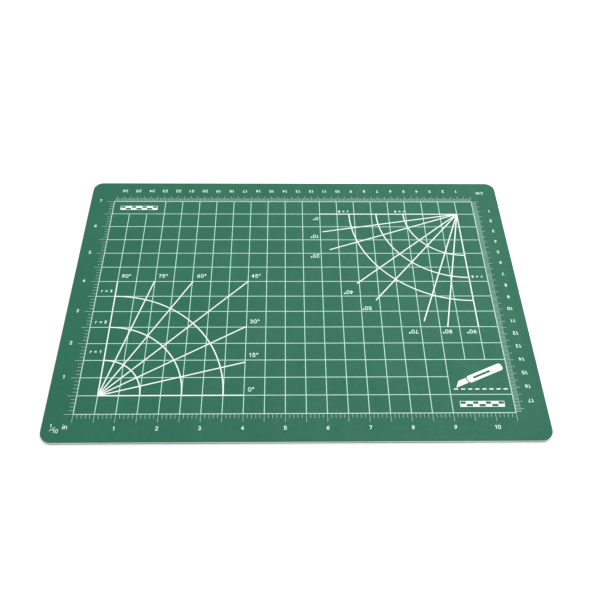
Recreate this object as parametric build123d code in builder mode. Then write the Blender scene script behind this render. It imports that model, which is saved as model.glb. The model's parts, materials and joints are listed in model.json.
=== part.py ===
from build123d import *
import os
from math import cos, radians, sin

# Self healing cutting mat: two soft green skins bonded to a pale stiff core, with a white
# print of grid, rulers and protractors on the upper skin.
# All lengths are in millimetres. Origin: centre of the underside, +X along the long side to
# the reader's right, +Y away from the reader, +Z up.

# ---------------------------------------------------------------- driving dimensions
INCH = 25.4
CM = 10.0

MAT_LENGTH = 304.0
MAT_DEPTH = 215.5
CORNER_RADIUS = 7.0
SKIN_THICKNESS = 1.0
CORE_THICKNESS = 1.0
EDGE_ROUND = 0.2

INK_THICKNESS = 0.04
GRID_PITCH = INCH / 2
GRID_COLUMNS = 21
GRID_ROWS = 14
GRID_LINE = 0.43
BORDER_LINE = 0.5
LEFT_MARGIN = 17.5
FRONT_MARGIN = 18.2

TICK_LINE = 0.2
TENTH_INCH_TICK = 3.0
MILLIMETRE_TICK = 3.5
LONG_TICK = 5.5

PROTRACTOR_LINE = 0.75
NUMERAL_HEIGHT = 2.65
NUMERAL_PEN = 0.42
ANGLE_HEIGHT = 3.1
ANGLE_PEN = 0.45
RADIUS_HEIGHT = 2.3
RADIUS_PEN = 0.48
UNIT_HEIGHT = 3.2
UNIT_PEN = 0.46
FRACTION_HEIGHT = 2.5
FRACTION_PEN = 0.36

# places on the print, in inches from the grid's front left corner
FRONT_NUMERAL_Y = -0.374
LEFT_NUMERAL_X = -0.405
LEFT_NUMERAL_RISE = 0.03
BACK_NUMERAL_Y = 7.43
RIGHT_NUMERAL_X = 10.99
RIGHT_NUMERAL_RISE = 0.02
FRACTION_PLACES = {"1": (-0.468, -0.297), "/": (-0.421, -0.381), "10": (-0.338, -0.434)}
INCH_WORD_PLACE = (-0.135, -0.325)
CENTIMETRE_WORD_PLACE = (10.80, 7.35)
INCH_VERTEX = (0.5, 0.5)
CENTIMETRE_VERTEX = (10.0, 6.5)
FRONT_PANEL = (9.0, 1.5)
BACK_PANEL = (1.5, 6.5)
KNIFE_PLACE = (9.76, 1.03)
DASHES_PLACE = (9.76, 0.65)
FRONT_BAR_PLACE = (9.73, 0.24)
BACK_BAR_PLACE = (0.75, 6.74)

# ---------------------------------------------------------------- worked-out values
TOP_Z = 2 * SKIN_THICKNESS + CORE_THICKNESS
INK_PLANE = Plane.XY.offset(TOP_Z)
GRID_LENGTH = GRID_COLUMNS * GRID_PITCH
GRID_DEPTH = GRID_ROWS * GRID_PITCH
GRID_LEFT = LEFT_MARGIN - MAT_LENGTH / 2
GRID_RIGHT = GRID_LEFT + GRID_LENGTH
GRID_FRONT = FRONT_MARGIN - MAT_DEPTH / 2
GRID_BACK = GRID_FRONT + GRID_DEPTH
GRID_CENTRE = ((GRID_LEFT + GRID_RIGHT) / 2, (GRID_FRONT + GRID_BACK) / 2)
LENGTH_IN_INCHES = GRID_LENGTH / INCH
DEPTH_IN_INCHES = GRID_DEPTH / INCH


def on_grid(x_inches, y_inches):
    """A point of the print, given in inches from the grid's front left corner."""
    return (GRID_LEFT + x_inches * INCH, GRID_FRONT + y_inches * INCH)


def save(piece, name):
    """Label a finished piece and write its file."""
    piece.part.label = name
    export_step(piece.part, f"parts/{name}.step")


os.makedirs("parts", exist_ok=True)

# ---------------------------------------------------------------- laminated sheet
with BuildPart() as bottom_cutting_layer:
    with BuildSketch():
        RectangleRounded(MAT_LENGTH, MAT_DEPTH, CORNER_RADIUS)
    extrude(amount=SKIN_THICKNESS)
    fillet(bottom_cutting_layer.faces().sort_by(Axis.Z)[0].edges(), EDGE_ROUND)
save(bottom_cutting_layer, "bottom_cutting_layer")

with BuildPart() as rigid_core:
    with BuildSketch(Plane.XY.offset(SKIN_THICKNESS)):
        RectangleRounded(MAT_LENGTH, MAT_DEPTH, CORNER_RADIUS)
    extrude(amount=CORE_THICKNESS)
save(rigid_core, "rigid_core")

with BuildPart() as top_cutting_layer:
    with BuildSketch(Plane.XY.offset(SKIN_THICKNESS + CORE_THICKNESS)):
        RectangleRounded(MAT_LENGTH, MAT_DEPTH, CORNER_RADIUS)
    extrude(amount=SKIN_THICKNESS)
    fillet(top_cutting_layer.faces().sort_by(Axis.Z)[-1].edges(), EDGE_ROUND)
save(top_cutting_layer, "top_cutting_layer")

# ---------------------------------------------------------------- lettering
# Each character is drawn with a round pen, in a cell one unit high, by these strokes:
#   ("line", x, y, end x, end y)          a straight stroke
#   ("bow", x, y, radius, start, sweep)   part of a circle about x, y, angles in degrees
#   ("ring", x, y, radius)                a whole circle
#   ("oval", x, y, radius, straight)      two half circles joined by upright straights
STROKES = {
    "0": [("oval", 0.3, 0.5, 0.3, 0.4)],
    "1": [("line", 0.1, 0.78, 0.34, 1.0), ("line", 0.34, 1.0, 0.34, 0.0)],
    "2": [
        ("bow", 0.3, 0.71, 0.29, 165, -205),
        ("line", 0.52, 0.52, 0.0, 0.0),
        ("line", 0.0, 0.0, 0.6, 0.0),
    ],
    "3": [("bow", 0.3, 0.76, 0.24, 160, -250), ("bow", 0.3, 0.26, 0.26, 90, -250)],
    "4": [
        ("line", 0.44, 1.0, 0.0, 0.3),
        ("line", 0.0, 0.3, 0.62, 0.3),
        ("line", 0.44, 1.0, 0.44, 0.0),
    ],
    "5": [
        ("line", 0.55, 1.0, 0.1, 1.0),
        ("line", 0.1, 1.0, 0.05, 0.52),
        ("bow", 0.28, 0.32, 0.32, 140, -290),
    ],
    "6": [("ring", 0.3, 0.29, 0.29), ("bow", 0.72, 0.29, 0.71, 180, -72)],
    "7": [("line", 0.0, 1.0, 0.6, 1.0), ("line", 0.6, 1.0, 0.2, 0.0)],
    "8": [("ring", 0.3, 0.76, 0.24), ("ring", 0.3, 0.26, 0.26)],
    "9": [("ring", 0.3, 0.71, 0.29), ("bow", -0.12, 0.71, 0.71, 0, -72)],
    "°": [("ring", 0.15, 0.85, 0.15)],
    "/": [("line", 0.0, 0.0, 1.35, 1.0)],
    "=": [("line", 0.0, 0.25, 0.56, 0.25), ("line", 0.0, 0.58, 0.56, 0.58)],
    "r": [("line", 0.0, 0.0, 0.0, 0.68), ("bow", 0.28, 0.4, 0.28, 180, -120)],
    "i": [("line", 0.0, 0.0, 0.0, 0.68), ("line", 0.0, 0.97, 0.0, 1.0)],
    "n": [
        ("line", 0.0, 0.0, 0.0, 0.68),
        ("bow", 0.24, 0.44, 0.24, 180, -180),
        ("line", 0.48, 0.44, 0.48, 0.0),
    ],
    "c": [("bow", 0.32, 0.34, 0.34, 45, 270)],
    "m": [
        ("line", 0.0, 0.0, 0.0, 0.68),
        ("bow", 0.22, 0.46, 0.22, 180, -180),
        ("line", 0.44, 0.46, 0.44, 0.0),
        ("bow", 0.66, 0.46, 0.22, 180, -180),
        ("line", 0.88, 0.46, 0.88, 0.0),
    ],
    " ": [],
}
DIGIT_WIDTH = 0.6
OTHER_WIDTHS = {
    "1": 0.48,
    "°": 0.3,
    "/": 1.35,
    "=": 0.56,
    "r": 0.42,
    "i": 0.0,
    "n": 0.48,
    "m": 0.88,
    " ": 0.25,
}
LETTER_GAP = 0.18


def character(name, height, pen):
    """The outline of one character, standing on Y = 0 with its left stroke at X = 0."""
    scale = height - pen
    with BuildSketch() as shape:
        for kind, x, y, *sizes in STROKES[name]:
            centre = Vector(x, y) * scale
            if kind == "line":
                SlotArc(Edge.make_line(centre, Vector(*sizes) * scale), pen)
            elif kind == "bow":
                radius, start, sweep = sizes
                SlotArc(CenterArc(centre, radius * scale, start, sweep, mode=Mode.PRIVATE), pen)
            elif kind == "ring":
                with Locations(centre):
                    Circle(sizes[0] * scale + pen / 2)
                    Circle(sizes[0] * scale - pen / 2, mode=Mode.SUBTRACT)
            else:
                radius, straight = sizes
                with Locations(centre):
                    SlotCenterToCenter(straight * scale, 2 * radius * scale + pen, rotation=90)
                    SlotCenterToCenter(
                        straight * scale, 2 * radius * scale - pen, rotation=90, mode=Mode.SUBTRACT
                    )
    return shape.sketch


def label(text, height, pen, centred=True):
    """A short text with its middle, or the left end of its middle line, at the origin."""
    scale = height - pen
    shapes = []
    x = 0.0
    for name in text:
        if STROKES[name]:
            shapes.append(Pos(x, 0) * character(name, height, pen))
        x += OTHER_WIDTHS.get(name, DIGIT_WIDTH) * scale + LETTER_GAP * scale + pen
    with BuildSketch() as row:
        add(shapes)
    box = row.sketch.bounding_box()
    left_shift = box.center().X if centred else box.min.X
    return Pos(-left_shift, -scale / 2) * row.sketch


LARGEST_NUMERAL = 26
NUMERALS = [label(str(n), NUMERAL_HEIGHT, NUMERAL_PEN) for n in range(LARGEST_NUMERAL + 1)]

# ---------------------------------------------------------------- ruled grid
INNER_LENGTH = GRID_LENGTH - BORDER_LINE
INNER_DEPTH = GRID_DEPTH - BORDER_LINE

# The border line's inner half. Each ruler brings the outer half of its own side.
with BuildPart() as border_line:
    with BuildSketch(INK_PLANE):
        with Locations(GRID_CENTRE):
            Rectangle(GRID_LENGTH, GRID_DEPTH)
            Rectangle(INNER_LENGTH, INNER_DEPTH, mode=Mode.SUBTRACT)
    extrude(amount=INK_THICKNESS)
save(border_line, "border_line")


def protractor_marks(vertex, turn, arc_radii, rays):
    """Arcs and rays over a quarter turn; each ray is an angle and a length from the vertex."""
    half = PROTRACTOR_LINE / 2
    quarter = max(arc_radii) + PROTRACTOR_LINE
    with BuildSketch() as marks:
        for radius in sorted(arc_radii, reverse=True):
            Circle(radius + half)
            Circle(radius - half, mode=Mode.SUBTRACT)
        with Locations((-half, -half)):
            Rectangle(quarter, quarter, align=(Align.MIN, Align.MIN), mode=Mode.INTERSECT)
        Circle(half)
        for angle, length in rays:
            Rectangle(length, PROTRACTOR_LINE, rotation=angle, align=(Align.MIN, Align.CENTER))
    return Pos(*vertex) * Rot(0, 0, turn) * marks.sketch


# The inch rays run out to the sides of a square, the centimetre rays are of nearly one length.
# Three rays are printed a little off the angle that their label gives: 75, 50 and 80.
INCH_SQUARE = 3.5 * INCH
INCH_RAYS = []
for angle in (0, 15, 30, 45, 60, 74.3, 90):
    INCH_RAYS.append((angle, INCH_SQUARE / max(cos(radians(angle)), sin(radians(angle)))))
INCH_ARCS = [1 * INCH, 2 * INCH, 3 * INCH]
inch_marks = protractor_marks(on_grid(*INCH_VERTEX), 0, INCH_ARCS, INCH_RAYS)

CENTIMETRE_RAYS = []
for angle in (0, 10, 20, 40, 90):
    CENTIMETRE_RAYS.append((angle, 4.0 * INCH))
for angle in (50.4, 70, 78.7):
    CENTIMETRE_RAYS.append((angle, 4.07 * INCH))
CENTIMETRE_ARCS = [4 * CM, 6 * CM, 8 * CM]
centimetre_marks = protractor_marks(
    on_grid(*CENTIMETRE_VERTEX), 180, CENTIMETRE_ARCS, CENTIMETRE_RAYS
)

with BuildPart() as inch_protractor:
    with BuildSketch(INK_PLANE):
        add(inch_marks)
    extrude(amount=INK_THICKNESS)
save(inch_protractor, "inch_protractor")

with BuildPart() as centimetre_protractor:
    with BuildSketch(INK_PLANE):
        add(centimetre_marks)
    extrude(amount=INK_THICKNESS)
save(centimetre_protractor, "centimetre_protractor")

# The grid's lines stop at the two panels, and give way to the protractors' wider lines.
with BuildPart() as half_inch_grid:
    with BuildSketch(INK_PLANE):
        for column in range(1, GRID_COLUMNS):
            x = column / 2
            front_end = FRONT_PANEL[1] if x > FRONT_PANEL[0] else 0
            back_end = BACK_PANEL[1] if x < BACK_PANEL[0] else DEPTH_IN_INCHES
            with Locations(on_grid(x, (front_end + back_end) / 2)):
                Rectangle(GRID_LINE, (back_end - front_end) * INCH)
        for row in range(1, GRID_ROWS):
            y = row / 2
            right_end = FRONT_PANEL[0] if y == 1 else LENGTH_IN_INCHES
            with Locations(on_grid(right_end / 2, y)):
                Rectangle(right_end * INCH, GRID_LINE)
        with Locations(GRID_CENTRE):
            Rectangle(INNER_LENGTH, INNER_DEPTH, mode=Mode.INTERSECT)
        add(inch_marks, mode=Mode.SUBTRACT)
        add(centimetre_marks, mode=Mode.SUBTRACT)
    extrude(amount=INK_THICKNESS)
save(half_inch_grid, "half_inch_grid")

# ---------------------------------------------------------------- edge rulers
TENTH_INCH = INCH / 10
MILLIMETRE = 1.0
MARKS_PER_LONG = 5


def comb_points(length, marks):
    """A base line along +X with marks standing up from it, as one closed outline."""
    half_border = BORDER_LINE / 2
    points = [(-half_border, 0), (length + half_border, 0), (length + half_border, half_border)]
    for position, reach in reversed(marks):
        points.append((position + TICK_LINE / 2, half_border))
        points.append((position + TICK_LINE / 2, reach))
        points.append((position - TICK_LINE / 2, reach))
        points.append((position - TICK_LINE / 2, half_border))
    points.append((-half_border, half_border))
    return points


def ruler_marks(length, pitch, short_tick):
    """The place and length of each mark, counted from the ruler's zero."""
    marks = []
    for number in range(int(length / pitch + 0.5) + 1):
        if number * pitch <= length + TICK_LINE / 2:
            marks.append((number * pitch, LONG_TICK if number % MARKS_PER_LONG == 0 else short_tick))
    return marks


front_marks = ruler_marks(GRID_LENGTH, TENTH_INCH, TENTH_INCH_TICK)
left_marks = ruler_marks(GRID_DEPTH, TENTH_INCH, TENTH_INCH_TICK)
right_marks = ruler_marks(GRID_DEPTH, MILLIMETRE, MILLIMETRE_TICK)
back_marks = []
for place, reach in reversed(ruler_marks(GRID_LENGTH, MILLIMETRE, MILLIMETRE_TICK)):
    back_marks.append((GRID_LENGTH - place, reach))

with BuildPart() as inch_scale_front:
    with BuildSketch(Plane((GRID_RIGHT, GRID_FRONT, TOP_Z), x_dir=(-1, 0, 0), z_dir=(0, 0, 1))):
        with BuildLine():
            Polyline(*comb_points(GRID_LENGTH, front_marks), close=True)
        make_face()
    extrude(amount=INK_THICKNESS)
save(inch_scale_front, "inch_scale_front")

with BuildPart() as inch_scale_left:
    with BuildSketch(Plane((GRID_LEFT, GRID_FRONT, TOP_Z), x_dir=(0, 1, 0), z_dir=(0, 0, 1))):
        with BuildLine():
            Polyline(*comb_points(GRID_DEPTH, left_marks), close=True)
        make_face()
    extrude(amount=INK_THICKNESS)
save(inch_scale_left, "inch_scale_left")

with BuildPart() as centimetre_scale_back:
    with BuildSketch(Plane((GRID_LEFT, GRID_BACK, TOP_Z), x_dir=(1, 0, 0), z_dir=(0, 0, 1))):
        with BuildLine():
            Polyline(*comb_points(GRID_LENGTH, back_marks), close=True)
        make_face()
    extrude(amount=INK_THICKNESS)
save(centimetre_scale_back, "centimetre_scale_back")

with BuildPart() as centimetre_scale_right:
    with BuildSketch(Plane((GRID_RIGHT, GRID_BACK, TOP_Z), x_dir=(0, -1, 0), z_dir=(0, 0, 1))):
        with BuildLine():
            Polyline(*comb_points(GRID_DEPTH, right_marks), close=True)
        make_face()
    extrude(amount=INK_THICKNESS)
save(centimetre_scale_right, "centimetre_scale_right")

# ---------------------------------------------------------------- ruler numerals
with BuildPart() as inch_numerals_front:
    with BuildSketch(INK_PLANE):
        for number in range(1, 11):
            with Locations(on_grid(number, FRONT_NUMERAL_Y)):
                add(NUMERALS[number])
    extrude(amount=INK_THICKNESS)
save(inch_numerals_front, "inch_numerals_front")

with BuildPart() as inch_numerals_left:
    with BuildSketch(INK_PLANE):
        for number in range(1, 8):
            with Locations(on_grid(LEFT_NUMERAL_X, number + LEFT_NUMERAL_RISE)):
                add(NUMERALS[number])
    extrude(amount=INK_THICKNESS)
save(inch_numerals_left, "inch_numerals_left")

with BuildPart() as centimetre_numerals_back:
    with BuildSketch(INK_PLANE):
        for number in range(1, LARGEST_NUMERAL + 1):
            x = LENGTH_IN_INCHES - number * CM / INCH
            with Locations(on_grid(x, BACK_NUMERAL_Y)):
                add(NUMERALS[number], rotation=180)
    extrude(amount=INK_THICKNESS)
save(centimetre_numerals_back, "centimetre_numerals_back")

RIGHT_NUMERALS = [label(str(n), NUMERAL_HEIGHT, NUMERAL_PEN, centred=False) for n in range(18)]
with BuildPart() as centimetre_numerals_right:
    with BuildSketch(INK_PLANE):
        for number in range(1, len(RIGHT_NUMERALS)):
            y = DEPTH_IN_INCHES - number * CM / INCH + RIGHT_NUMERAL_RISE
            with Locations(on_grid(RIGHT_NUMERAL_X, y)):
                add(RIGHT_NUMERALS[number], rotation=180)
    extrude(amount=INK_THICKNESS)
save(centimetre_numerals_right, "centimetre_numerals_right")

# ---------------------------------------------------------------- unit labels
# A tenth of an inch, set as a sloping fraction, and its unit.
fraction = {text: label(text, FRACTION_HEIGHT, FRACTION_PEN) for text in FRACTION_PLACES}
inch_word = label("in", UNIT_HEIGHT, UNIT_PEN)
with BuildPart() as inch_unit_label:
    with BuildSketch(INK_PLANE):
        for text, place in FRACTION_PLACES.items():
            with Locations(on_grid(*place)):
                add(fraction[text])
        with Locations(on_grid(*INCH_WORD_PLACE)):
            add(inch_word)
    extrude(amount=INK_THICKNESS)
save(inch_unit_label, "inch_unit_label")

centimetre_word = label("cm", UNIT_HEIGHT, UNIT_PEN)
with BuildPart() as centimetre_unit_label:
    with BuildSketch(INK_PLANE):
        with Locations(on_grid(*CENTIMETRE_WORD_PLACE)):
            add(centimetre_word, rotation=180)
    extrude(amount=INK_THICKNESS)
save(centimetre_unit_label, "centimetre_unit_label")

# ---------------------------------------------------------------- protractor labels
INCH_ANGLE_PLACES = {
    0: (4.17, 0.66),
    15: (4.21, 1.65),
    30: (4.21, 2.68),
    45: (4.21, 4.19),
    60: (2.74, 4.19),
    75: (1.70, 4.19),
    90: (0.71, 4.19),
}
CENTIMETRE_ANGLE_PLACES = {
    0: (5.88, 6.32),
    10: (5.83, 5.63),
    20: (5.83, 4.90),
    40: (6.69, 3.63),
    50: (7.15, 3.10),
    70: (8.30, 2.35),
    80: (9.17, 2.35),
    90: (9.80, 2.35),
}
INCH_RADIUS_PLACES = {1: (0.255, 1.76), 2: (0.255, 2.67), 3: (0.255, 3.68)}
CENTIMETRE_RADIUS_PLACES = {4: (8.33, 6.60), 6: (10.22, 4.16), 8: (6.69, 6.60)}

angle_labels = {}
for angle in [*INCH_ANGLE_PLACES, *CENTIMETRE_ANGLE_PLACES]:
    angle_labels[angle] = label(f"{angle}°", ANGLE_HEIGHT, ANGLE_PEN)
radius_labels = {}
for radius in [*INCH_RADIUS_PLACES, *CENTIMETRE_RADIUS_PLACES]:
    radius_labels[radius] = label(f"r = {radius}", RADIUS_HEIGHT, RADIUS_PEN)

with BuildPart() as inch_angle_labels:
    with BuildSketch(INK_PLANE):
        for angle, place in INCH_ANGLE_PLACES.items():
            with Locations(on_grid(*place)):
                add(angle_labels[angle])
    extrude(amount=INK_THICKNESS)
save(inch_angle_labels, "inch_angle_labels")

with BuildPart() as inch_radius_labels:
    with BuildSketch(INK_PLANE):
        for radius, place in INCH_RADIUS_PLACES.items():
            with Locations(on_grid(*place)):
                add(radius_labels[radius])
    extrude(amount=INK_THICKNESS)
save(inch_radius_labels, "inch_radius_labels")

with BuildPart() as centimetre_angle_labels:
    with BuildSketch(INK_PLANE):
        for angle, place in CENTIMETRE_ANGLE_PLACES.items():
            with Locations(on_grid(*place)):
                add(angle_labels[angle], rotation=180)
    extrude(amount=INK_THICKNESS)
save(centimetre_angle_labels, "centimetre_angle_labels")

with BuildPart() as centimetre_radius_labels:
    with BuildSketch(INK_PLANE):
        for radius, place in CENTIMETRE_RADIUS_PLACES.items():
            with Locations(on_grid(*place)):
                add(radius_labels[radius], rotation=180)
    extrude(amount=INK_THICKNESS)
save(centimetre_radius_labels, "centimetre_radius_labels")

# ---------------------------------------------------------------- panel marks
# A craft knife: handle with its slider slot, blade with a slanted tip, over a dashed cut.
HANDLE_LENGTH = 25.0
HANDLE_WIDTH = 5.0
BLADE_LENGTH = 9.5
BLADE_WIDTH = 3.6
BLADE_GAP = 0.7
KNIFE_TILT = 24
DASH_LENGTH = 2.6
DASH_PITCH = 4.4
DASH_COUNT = 8

with BuildSketch() as knife:
    with Locations((HANDLE_LENGTH / 2, 0)):
        RectangleRounded(HANDLE_LENGTH, HANDLE_WIDTH, HANDLE_WIDTH / 3)
    with Locations((HANDLE_LENGTH * 0.4, 0)):
        SlotOverall(HANDLE_LENGTH * 0.5, HANDLE_WIDTH * 0.3, mode=Mode.SUBTRACT)
    with BuildLine():
        Polyline(
            (-BLADE_GAP, BLADE_WIDTH / 2),
            (-BLADE_GAP, -BLADE_WIDTH / 2),
            (-BLADE_LENGTH, -BLADE_WIDTH / 2),
            (BLADE_WIDTH - BLADE_LENGTH, BLADE_WIDTH / 2),
            close=True,
        )
    make_face()
knife_shape = Pos((BLADE_LENGTH - HANDLE_LENGTH) / 2, 0) * knife.sketch

with BuildPart() as knife_emblem:
    with BuildSketch(INK_PLANE):
        with Locations(on_grid(*KNIFE_PLACE)):
            add(knife_shape, rotation=KNIFE_TILT)
        with Locations(on_grid(*DASHES_PLACE)):
            with GridLocations(DASH_PITCH, 0, DASH_COUNT, 1):
                Rectangle(DASH_LENGTH, PROTRACTOR_LINE)
    extrude(amount=INK_THICKNESS)
save(knife_emblem, "knife_emblem")

# A plain graphic scale: a thin frame with two rows of blocks, filled and open in turn. The
# back row's blocks are a line's width longer at each end, so that the two rows join.
BAR_HEIGHT = 4.0
BAR_LINE = 0.3
BLOCK_LENGTH = 3.9
BLOCK_COUNT = 7
BAR_LENGTH = BLOCK_COUNT * BLOCK_LENGTH

with BuildSketch() as scale_bar:
    Rectangle(BAR_LENGTH, BAR_HEIGHT)
    Rectangle(BAR_LENGTH - 2 * BAR_LINE, BAR_HEIGHT - 2 * BAR_LINE, mode=Mode.SUBTRACT)
    with Locations((0, BAR_HEIGHT / 4)):
        with GridLocations(2 * BLOCK_LENGTH, 0, BLOCK_COUNT // 2, 1):
            Rectangle(BLOCK_LENGTH + 2 * BAR_LINE, BAR_HEIGHT / 2)
    with Locations((0, -BAR_HEIGHT / 4)):
        with GridLocations(2 * BLOCK_LENGTH, 0, BLOCK_COUNT // 2 + 1, 1):
            Rectangle(BLOCK_LENGTH, BAR_HEIGHT / 2)

with BuildPart() as scale_bar_front:
    with BuildSketch(INK_PLANE):
        with Locations(on_grid(*FRONT_BAR_PLACE)):
            add(scale_bar.sketch)
    extrude(amount=INK_THICKNESS)
save(scale_bar_front, "scale_bar_front")

with BuildPart() as scale_bar_back:
    with BuildSketch(INK_PLANE):
        with Locations(on_grid(*BACK_BAR_PLACE)):
            add(scale_bar.sketch)
    extrude(amount=INK_THICKNESS)
save(scale_bar_back, "scale_bar_back")
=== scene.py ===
import json
import math

import bmesh
import bpy
from mathutils import Matrix, Vector, noise


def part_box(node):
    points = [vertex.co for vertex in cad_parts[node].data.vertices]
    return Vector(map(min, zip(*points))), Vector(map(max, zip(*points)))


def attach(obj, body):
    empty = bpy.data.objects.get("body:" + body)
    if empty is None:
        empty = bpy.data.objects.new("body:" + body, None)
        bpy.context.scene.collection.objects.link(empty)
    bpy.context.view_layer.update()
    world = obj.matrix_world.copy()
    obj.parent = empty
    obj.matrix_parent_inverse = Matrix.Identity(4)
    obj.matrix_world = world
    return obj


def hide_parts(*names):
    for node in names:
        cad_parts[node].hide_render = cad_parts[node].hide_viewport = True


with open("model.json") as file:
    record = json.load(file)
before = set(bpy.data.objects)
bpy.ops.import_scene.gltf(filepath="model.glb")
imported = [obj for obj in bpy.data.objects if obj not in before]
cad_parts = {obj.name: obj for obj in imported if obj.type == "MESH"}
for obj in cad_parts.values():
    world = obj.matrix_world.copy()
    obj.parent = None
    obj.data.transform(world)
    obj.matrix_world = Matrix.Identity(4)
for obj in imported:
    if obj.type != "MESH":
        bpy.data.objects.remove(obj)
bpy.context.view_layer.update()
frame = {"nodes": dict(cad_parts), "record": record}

# Self healing cutting mat. The print keeps the CAD's own meshes, and the three bonded sheets are
# rebuilt here with a knife-cut edge. All lengths are in metres, in the row frame.

MM = 0.001

# ---------------------------------------------------------------- sizes, from the frame
SHEET_LOW, SHEET_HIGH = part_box("rigid_core")
HALF_LENGTH = (SHEET_HIGH.x - SHEET_LOW.x) / 2
HALF_DEPTH = (SHEET_HIGH.y - SHEET_LOW.y) / 2
UNDERSIDE_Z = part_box("bottom_cutting_layer")[0].z
LOWER_JOINT_Z = SHEET_LOW.z
UPPER_JOINT_Z = SHEET_HIGH.z
CORE_THICKNESS = UPPER_JOINT_Z - LOWER_JOINT_Z
SURFACE_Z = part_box("top_cutting_layer")[1].z
CORNER_RADIUS = 7.0 * MM
EDGE_ROUND = 0.2 * MM
CORE_BULGE = 0.03 * MM
KNIFE_WOBBLE = 0.03 * MM
INK_NODES = [
    entry["node"]
    for entry in frame["record"]["subparts"]
    if entry["material_slot"] == "white_ink"
]
# The finer the print, the thinner the ink lies and the more green it lets through. These words
# tell a node's fineness from its name. All other ink nodes are broad marks.
TICK_WORDS = ("inch_scale", "centimetre_scale")
LINE_WORDS = ("border", "grid")
LETTER_WORDS = ("numerals", "label")


# ---------------------------------------------------------------- node helpers
class Nodes:
    """Short calls for building one material's node tree."""

    def __init__(self, name):
        self.material = bpy.data.materials.new(name)
        self.material.use_nodes = True
        self.tree = self.material.node_tree
        self.shader = self.tree.nodes["Principled BSDF"]
        self.place = self.add("ShaderNodeTexCoord").outputs["Object"]

    def add(self, kind, **settings):
        """A new node with some of its properties set."""
        node = self.tree.nodes.new(kind)
        for key, value in settings.items():
            setattr(node, key, value)
        return node

    def link(self, source, target):
        self.tree.links.new(source, target)

    def stretched(self, scale):
        """The row's coordinates, multiplied by a scale along each axis."""
        mapping = self.add("ShaderNodeMapping")
        mapping.inputs["Scale"].default_value = scale
        self.link(self.place, mapping.inputs["Vector"])
        return mapping.outputs["Vector"]

    def noise(self, grain, detail=2.0, roughness=0.5, vector=None):
        """Noise whose features are about one grain across, in metres."""
        node = self.add("ShaderNodeTexNoise")
        node.inputs["Scale"].default_value = 1 / grain
        node.inputs["Detail"].default_value = detail
        node.inputs["Roughness"].default_value = roughness
        self.link(vector or self.place, node.inputs["Vector"])
        return node.outputs["Fac"]

    def cells(self, grain, feature="F1"):
        """Rounded cells about one grain across, in metres."""
        node = self.add("ShaderNodeTexVoronoi", feature=feature)
        node.inputs["Scale"].default_value = 1 / grain
        self.link(self.place, node.inputs["Vector"])
        return node.outputs["Distance"]

    def remap(self, value, low, high, new_low, new_high):
        """A value's stretch low..high carried over to new_low..new_high, clamped."""
        node = self.add("ShaderNodeMapRange")
        for name, number in zip(
            ("From Min", "From Max", "To Min", "To Max"), (low, high, new_low, new_high)
        ):
            node.inputs[name].default_value = number
        self.link(value, node.inputs["Value"])
        return node.outputs["Result"]

    def math(self, operation, first, second):
        """A sum or product of two values, each a number or a socket."""
        node = self.add("ShaderNodeMath", operation=operation)
        for socket, value in zip(node.inputs, (first, second)):
            if isinstance(value, float):
                socket.default_value = value
            else:
                self.link(value, socket)
        return node.outputs["Value"]

    def mix(self, factor, first, second):
        """A colour between two, each a colour or a socket."""
        node = self.add("ShaderNodeMix", data_type="RGBA")
        self.link(factor, node.inputs["Factor"])
        # the colour sockets come after the number and vector ones, which have the same names
        for socket, value in ((node.inputs[6], first), (node.inputs[7], second)):
            if isinstance(value, tuple):
                socket.default_value = (*value, 1.0)
            else:
                self.link(value, socket)
        return node.outputs[2]

    def bump(self, height, distance, strength=1.0, below=None):
        """A surface normal raised by a height, over the bumps below it."""
        node = self.add("ShaderNodeBump")
        node.inputs["Distance"].default_value = distance
        node.inputs["Strength"].default_value = strength
        self.link(height, node.inputs["Height"])
        if below:
            self.link(below, node.inputs["Normal"])
        return node.outputs["Normal"]

    def finish(self, colour, roughness, normal):
        """Wire the three to the shader, and give the finished material."""
        self.link(colour, self.shader.inputs["Base Color"])
        self.link(roughness, self.shader.inputs["Roughness"])
        self.link(normal, self.shader.inputs["Normal"])
        return self.material


# ---------------------------------------------------------------- materials
GREEN_DEEP = (0.0145, 0.112, 0.065)
GREEN = (0.0175, 0.131, 0.077)
GREEN_PALE = (0.0235, 0.148, 0.089)
CORE_WHITE = (0.84, 0.88, 0.85)
CORE_SHADE = (0.66, 0.71, 0.67)
BROAD_INK = (0.86, 0.96, 0.91)
BROAD_INK_WORN = (0.68, 0.84, 0.76)
LETTER_INK = (0.66, 0.95, 0.84)
LETTER_INK_WORN = (0.50, 0.80, 0.69)
LINE_INK = (0.53, 0.84, 0.71)
LINE_INK_WORN = (0.40, 0.69, 0.56)
TICK_INK = (0.48, 0.69, 0.60)
TICK_INK_WORN = (0.37, 0.57, 0.47)
# painted light: the floor's own glow, though it is no lamp, fills in the mat's contact shadow
FLOOR_PAINTED_GLOW = 0.25


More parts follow.
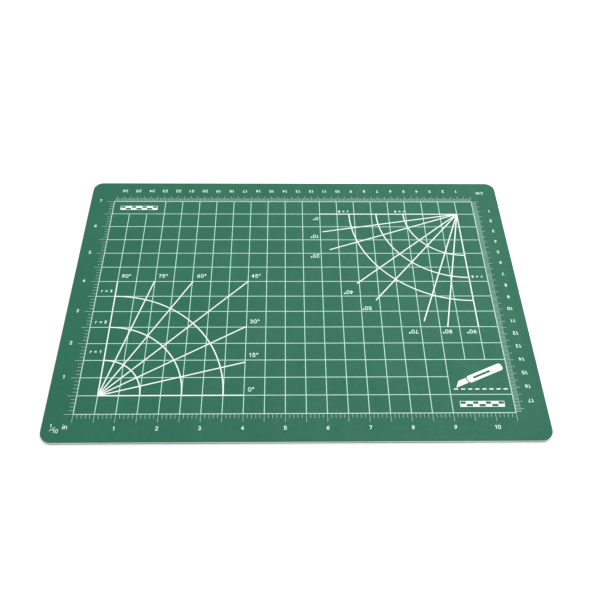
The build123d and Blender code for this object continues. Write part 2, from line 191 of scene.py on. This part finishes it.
def pvc_skin(name, pebble, pebble_height):
    """Matt green PVC: soft mottling, fine specks of filler and a pebbled press grain."""
    m = Nodes(name)
    cloud = m.remap(m.noise(45 * MM, 3.0), 0.35, 0.65, 0.0, 1.0)
    mottle = m.remap(m.noise(3.5 * MM, 4.0, 0.6), 0.3, 0.7, 0.0, 1.0)
    tone = m.mix(m.math("MULTIPLY", cloud, 0.7), GREEN, GREEN_PALE)
    tone = m.mix(m.math("MULTIPLY", mottle, 0.45), tone, GREEN_DEEP)
    specks = m.remap(m.noise(0.35 * MM, 1.0), 0.66, 0.74, 0.0, 0.5)
    tone = m.mix(specks, tone, GREEN_PALE)
    smear = m.noise(18 * MM, 3.0, vector=m.stretched((1.0, 0.35, 1.0)))
    smear_rough = m.remap(smear, 0.3, 0.7, 0.50, 0.60)
    mottle_rough = m.remap(mottle, 0.0, 1.0, 0.0, 0.06)
    rough = m.math("ADD", smear_rough, mottle_rough)
    grain = m.bump(m.cells(pebble, "SMOOTH_F1"), pebble_height, 0.6)
    fine = m.bump(m.noise(pebble * 0.4, 3.0, 0.6), pebble_height * 0.4, 0.5, grain)
    wave = m.bump(m.noise(60 * MM, 1.0), 0.15 * MM, 0.5, fine)
    m.shader.inputs["Specular IOR Level"].default_value = 0.2
    return m.finish(tone, rough, wave)


def core_board():
    """Pale stiff core: a cut face with upright knife drag, crumbs and thin press layers."""
    m = Nodes("pale_core_board")
    drag = m.noise(0.25 * MM, 3.0, 0.7, m.stretched((1.0, 1.0, 0.12)))
    layers = m.noise(0.3 * MM, 2.0, 0.5, m.stretched((0.02, 0.02, 1.0)))
    crumbs = m.remap(m.noise(0.6 * MM, 3.0, 0.7), 0.45, 0.7, 0.0, 0.8)
    layer_shade = m.remap(layers, 0.35, 0.65, 0.2, 1.0)
    drag_shade = m.remap(drag, 0.3, 0.7, 0.3, 0.9)
    shade = m.math("MULTIPLY", layer_shade, drag_shade)
    tone = m.mix(m.math("MAXIMUM", shade, crumbs), CORE_WHITE, CORE_SHADE)
    rough = m.remap(drag, 0.3, 0.7, 0.7, 0.9)
    cut = m.bump(drag, 0.06 * MM, 0.7)
    pits = m.bump(crumbs, 0.05 * MM, 0.5, cut)
    m.shader.inputs["Specular IOR Level"].default_value = 0.3
    return m.finish(tone, rough, pits)


def screen_ink(name, full, worn):
    """White screen ink: an even coat, a little thin in places, over the skin's grain."""
    m = Nodes(name)
    blotch = m.remap(m.noise(9 * MM, 3.0, 0.6), 0.42, 0.72, 0.0, 0.45)
    pinholes = m.remap(m.noise(0.22 * MM, 2.0, 0.7), 0.6, 0.72, 0.0, 0.5)
    tone = m.mix(m.math("MAXIMUM", blotch, pinholes), full, worn)
    rough = m.remap(m.noise(2.5 * MM, 2.0), 0.3, 0.7, 0.45, 0.6)
    grain = m.bump(m.cells(0.5 * MM, "SMOOTH_F1"), 0.02 * MM, 0.5)
    coat = m.bump(m.noise(0.15 * MM, 2.0), 0.01 * MM, 0.5, grain)
    m.shader.inputs["Specular IOR Level"].default_value = 0.4
    return m.finish(tone, rough, coat)


def studio_floor():
    """A plain pale floor with the least unevenness. Its faint glow is painted light: the floor
    glows though it is no lamp, which keeps it near white, washes out the mat's contact shadow
    and lights the mat's edges from below.
    """
    m = Nodes("pale_floor")
    tone = m.mix(m.noise(400 * MM, 2.0), (0.95, 0.95, 0.95), (0.97, 0.97, 0.97))
    rough = m.remap(m.noise(150 * MM, 2.0), 0.3, 0.7, 0.85, 0.95)
    flat = m.bump(m.noise(2 * MM, 2.0), 0.02 * MM, 0.2)
    m.shader.inputs["Specular IOR Level"].default_value = 0.1
    # painted light: a glow on the floor, which is no lamp, brightening the contact shadow round
    # the mat
    m.shader.inputs["Emission Color"].default_value = (1.0, 1.0, 1.0, 1.0)
    m.shader.inputs["Emission Strength"].default_value = FLOOR_PAINTED_GLOW
    return m.finish(tone, rough, flat)


# ---------------------------------------------------------------- the three bonded sheets
SIDE_STEP = 2.0 * MM
CORNER_STEPS = 24
RIM_STEPS = 6
# the knife's drift, in noise cells to the metre
SLOW_WAVES = 120
QUICK_WAVES = 900


def outline(inset):
    """Points and outward directions round the sheet's edge, one loop, counter-clockwise."""
    radius = CORNER_RADIUS - inset
    points = []
    corners = ((1, -1, -90), (1, 1, 0), (-1, 1, 90), (-1, -1, 180))
    for index, (side_x, side_y, start) in enumerate(corners):
        centre = Vector(
            (side_x * (HALF_LENGTH - CORNER_RADIUS), side_y * (HALF_DEPTH - CORNER_RADIUS), 0)
        )
        for step in range(CORNER_STEPS + 1):
            turn = math.radians(start + 90 * step / CORNER_STEPS)
            outward = Vector((math.cos(turn), math.sin(turn), 0))
            points.append((centre + outward * radius, outward))
        along = 2 * (HALF_DEPTH if index % 2 == 0 else HALF_LENGTH) - 2 * CORNER_RADIUS
        corner_end, outward = points[-1]
        direction = Vector((-outward.y, outward.x, 0))
        count = round(along / SIDE_STEP)
        for step in range(1, count):
            points.append((corner_end + direction * along * step / count, outward))
    return points


def cut_wobble(point, seed):
    """How far the knife strayed inwards at this place: a slow drift and a quick one, mixed."""
    slow = noise.noise(point * SLOW_WAVES + Vector((seed, 0, 0)))
    quick = noise.noise(point * QUICK_WAVES + Vector((0, seed, 0)))
    return KNIFE_WOBBLE * (0.5 + 0.3 * slow + 0.2 * quick)


def bonded_sheet(name, profile, seed, material):
    """A closed sheet whose edge follows a profile of (inset, height) from bottom to top."""
    mesh = bpy.data.meshes.new(name)
    shape = bmesh.new()
    loops = []
    for inset, z in profile:
        loop = []
        for point, outward in outline(inset):
            strayed = point - outward * cut_wobble(Vector((point.x, point.y, z)), seed)
            loop.append(shape.verts.new((strayed.x, strayed.y, z)))
        loops.append(loop)
    for lower, upper in zip(loops, loops[1:]):
        for here in range(len(lower)):
            after = (here + 1) % len(lower)
            face = shape.faces.new((lower[here], lower[after], upper[after], upper[here]))
            face.smooth = True
    shape.faces.new(list(reversed(loops[0])))
    shape.faces.new(loops[-1])
    shape.to_mesh(mesh)
    shape.free()
    piece = bpy.data.objects.new(name, mesh)
    bpy.context.scene.collection.objects.link(piece)
    piece.data.materials.append(material)
    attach(piece, "root")
    return piece


def rounded_rim(z_edge, z_side):
    """Profile points round a skin's outer edge, from its flat face down to its side."""
    sign = 1 if z_edge > z_side else -1
    points = []
    for step in range(RIM_STEPS + 1):
        turn = math.radians(90 * step / RIM_STEPS)
        inset = EDGE_ROUND * (1 - math.sin(turn))
        points.append((inset, z_edge - sign * EDGE_ROUND * (1 - math.cos(turn))))
    return points


skin_top = pvc_skin("green_pvc_top", 0.5 * MM, 0.035 * MM)
skin_bottom = pvc_skin("green_pvc_bottom", 0.9 * MM, 0.06 * MM)
core_material = core_board()
broad_ink = screen_ink("white_ink_broad", BROAD_INK, BROAD_INK_WORN)
letter_ink = screen_ink("white_ink_letters", LETTER_INK, LETTER_INK_WORN)
line_ink = screen_ink("white_ink_lines", LINE_INK, LINE_INK_WORN)
tick_ink = screen_ink("white_ink_ticks", TICK_INK, TICK_INK_WORN)

bottom_rim = rounded_rim(UNDERSIDE_Z, LOWER_JOINT_Z)
bottom_skin = bonded_sheet(
    "bottom_skin", [*bottom_rim, (0.0, LOWER_JOINT_Z)], 1.0, skin_bottom
)
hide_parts("bottom_cutting_layer")

core_sheet = bonded_sheet(
    "core_sheet",
    [
        (CORE_BULGE, LOWER_JOINT_Z),
        (0.0, LOWER_JOINT_Z + 0.15 * CORE_THICKNESS),
        (0.0, LOWER_JOINT_Z + 0.85 * CORE_THICKNESS),
        (CORE_BULGE, UPPER_JOINT_Z),
    ],
    5.0,
    core_material,
)
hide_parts("rigid_core")

top_rim = rounded_rim(SURFACE_Z, UPPER_JOINT_Z)
top_skin = bonded_sheet(
    "top_skin", [(0.0, UPPER_JOINT_Z), *reversed(top_rim)], 9.0, skin_top
)
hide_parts("top_cutting_layer")

# ---------------------------------------------------------------- the print
for node in INK_NODES:
    if any(word in node for word in TICK_WORDS):
        finish = tick_ink
    elif any(word in node for word in LINE_WORDS):
        finish = line_ink
    elif any(word in node for word in LETTER_WORDS):
        finish = letter_ink
    else:
        finish = broad_ink
    printed = frame["nodes"][node]
    printed.data.materials.clear()
    printed.data.materials.append(finish)

# ---------------------------------------------------------------- floor, light and camera
FLOOR_HALF = 12.0
FLOOR_GAP = 0.05 * MM

floor_mesh = bpy.data.meshes.new("floor")
corner_signs = ((-1, -1), (1, -1), (1, 1), (-1, 1))
floor_mesh.from_pydata(
    [(x * FLOOR_HALF, y * FLOOR_HALF, UNDERSIDE_Z - FLOOR_GAP) for x, y in corner_signs],
    [],
    [(0, 1, 2, 3)],
)
floor = bpy.data.objects.new("floor", floor_mesh)
bpy.context.scene.collection.objects.link(floor)
floor.data.materials.append(studio_floor())


def soft_light(name, place, size, power):
    """A large square lamp that looks at the origin."""
    lamp = bpy.data.lights.new(name, "AREA")
    lamp.shape = "SQUARE"
    lamp.size = size
    lamp.energy = power
    light = bpy.data.objects.new(name, lamp)
    light.location = place
    light.rotation_euler = (-Vector(place)).to_track_quat("-Z", "Y").to_euler()
    bpy.context.scene.collection.objects.link(light)


# a key from behind on the right, and a farther, wider fill from the front
soft_light("key_light", place=(0.30, 0.50, 0.95), size=0.8, power=8.0)
soft_light("fill_light", place=(0.9, -0.9, 1.6), size=1.5, power=9.5)

WORLD_STRENGTH = 0.62
world = bpy.data.worlds.new("studio_air")
world.use_nodes = True
world.node_tree.nodes["Background"].inputs["Color"].default_value = (1.0, 1.0, 1.0, 1.0)
world.node_tree.nodes["Background"].inputs["Strength"].default_value = WORLD_STRENGTH
bpy.context.scene.world = world
bpy.context.scene.view_settings.view_transform = "Standard"

CAMERA_PLACE = Vector((-0.0073, -0.3011, 0.3963))
CAMERA_AIM = Vector((0.0024, -0.0039, 0.0030))
# how far the camera leans round its own line of sight
CAMERA_ROLL = math.radians(1.43)
LENS_MM = 44.0

camera_data = bpy.data.cameras.new("camera")
camera_data.lens = LENS_MM
camera_data.clip_start = 0.01
camera = bpy.data.objects.new("camera", camera_data)
look = (CAMERA_AIM - CAMERA_PLACE).to_track_quat("-Z", "Y").to_matrix()
turned = look @ Matrix.Rotation(CAMERA_ROLL, 3, "Z")
camera.location = CAMERA_PLACE
camera.rotation_euler = turned.to_euler()
bpy.context.scene.collection.objects.link(camera)
bpy.context.scene.camera = camera
